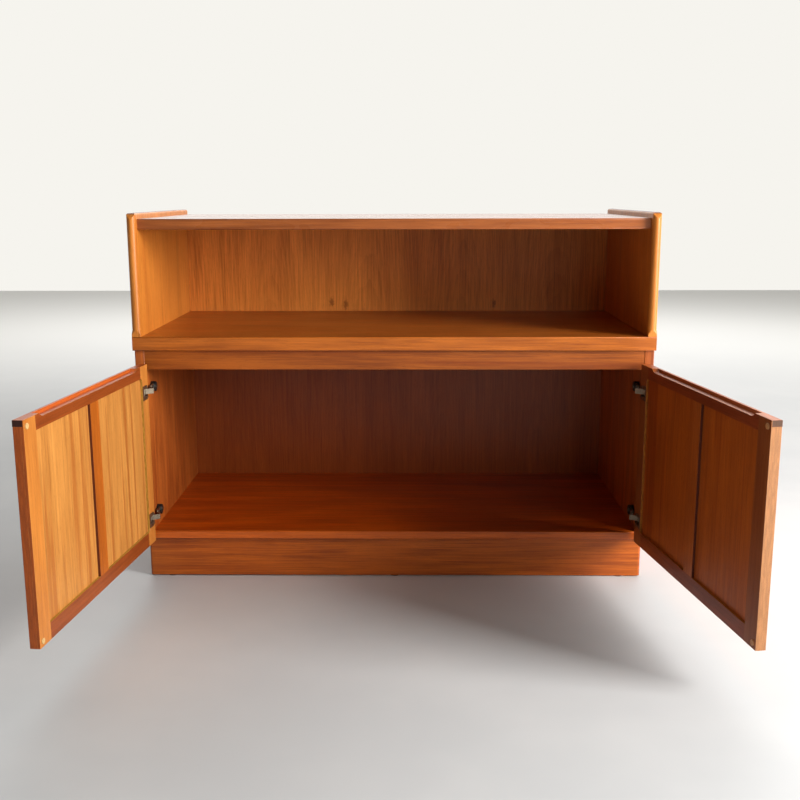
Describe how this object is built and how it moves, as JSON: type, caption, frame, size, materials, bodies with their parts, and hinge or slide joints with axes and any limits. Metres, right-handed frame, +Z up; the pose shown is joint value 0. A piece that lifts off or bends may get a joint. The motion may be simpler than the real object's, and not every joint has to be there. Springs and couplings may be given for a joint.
{
  "type": "television cabinet with doors",
  "caption": "Wooden television cabinet: an open shelf unit stands on a lower carcass with hinged doors, finger pulls in their top edges and a set-back plinth.",
  "frame": {"origin": "middle of the plinth's footprint, on the floor, where the middle glide stands", "axes": "+Z up, +X to the right seen from the front, +Y towards the back panel"},
  "size_m": [1.1082, 0.954, 0.7225],
  "materials": {
    "veneer_side": "satin",
    "veneer_top": "satin",
    "veneer_back": "satin",
    "veneer_plinth": "satin",
    "veneer_door": "satin",
    "veneer_rail": "satin",
    "solid_teak": "satin",
    "core": "matt",
    "dowel_wood": "matt",
    "cup_plastic": "satin",
    "boss_plastic": "matt",
    "pale_plastic": "satin",
    "glide_plastic": "matt",
    "nickel_steel": "satin"
  },
  "bodies": {
    "cabinet": {"upper_side_left": "veneer_side", "upper_side_right": "veneer_side", "top_board": "veneer_top", "upper_back": "veneer_back", "shelf_board": "veneer_top", "lower_side_left": "veneer_side", "lower_side_right": "veneer_side", "cleat_left": "core", "cleat_right": "core", "top_rail": "solid_teak", "bottom_board": "veneer_top", "bottom_lipping": "solid_teak", "lower_back": "veneer_back", "plinth_front": "veneer_plinth", "plinth_back": "veneer_plinth", "plinth_end_left": "veneer_plinth", "plinth_end_right": "veneer_plinth", "plinth_brace": "core", "plinth_blocks": "core", "glides": "glide_plastic", "rail_dowels": "dowel_wood", "bottom_dowels": "dowel_wood", "top_board_dowels": "dowel_wood", "upper_side_dowels": "dowel_wood", "unit_bolts": "nickel_steel", "upper_back_screws": "nickel_steel", "lower_back_screws": "nickel_steel", "hinge_bosses_left": "boss_plastic", "hinge_bosses_right": "boss_plastic", "hinge_arms_left": "nickel_steel", "hinge_arms_right": "nickel_steel", "boss_screws_left": "nickel_steel", "boss_screws_right": "nickel_steel"},
    "link_left": {"hinge_links_left": "nickel_steel", "hinge_pins_left": "nickel_steel"},
    "door_left": {"door_left_leaf": "veneer_door", "door_left_stile_hinge": "veneer_door", "door_left_stile_free": "veneer_door", "door_left_rail_top": "veneer_rail", "door_left_rail_bottom": "veneer_rail", "door_left_muntin": "veneer_door", "door_left_top_strip": "solid_teak", "door_left_bumpers": "pale_plastic", "door_left_cups": "cup_plastic", "door_left_cup_screws": "nickel_steel"},
    "link_right": {"hinge_links_right": "nickel_steel", "hinge_pins_right": "nickel_steel"},
    "door_right": {"door_right_leaf": "veneer_door", "door_right_stile_hinge": "veneer_door", "door_right_stile_free": "veneer_door", "door_right_rail_top": "veneer_rail", "door_right_rail_bottom": "veneer_rail", "door_right_muntin": "veneer_door", "door_right_top_strip": "solid_teak", "door_right_bumpers": "pale_plastic", "door_right_cups": "cup_plastic", "door_right_cup_screws": "nickel_steel"}
  },
  "joints": [
    {"name": "link_left_turn", "type": "hinge", "parent": "cabinet", "child": "link_left", "pos_m": [-0.474, -0.207, 0.2585], "axis": [0, 0, 1], "range_deg": [-32, 1.33]},
    {"name": "door_left_swing", "type": "hinge", "parent": "link_left", "child": "door_left", "pos_m": [-0.4801, -0.23498, 0.2585], "axis": [0, 0, 1], "range_deg": [-5.33, 128]},
    {"name": "link_right_turn", "type": "hinge", "parent": "cabinet", "child": "link_right", "pos_m": [0.474, -0.207, 0.2585], "axis": [0, 0, 1], "range_deg": [-0.33, 33]},
    {"name": "door_right_swing", "type": "hinge", "parent": "link_right", "child": "door_right", "pos_m": [0.47961, -0.23509, 0.2585], "axis": [0, 0, 1], "range_deg": [-132, 1.33]}
  ],
  "couplings": [
    {"joint": "link_left_turn", "follows": "door_left_swing", "ratio": -0.25},
    {"joint": "link_right_turn", "follows": "door_right_swing", "ratio": -0.25}
  ]
}
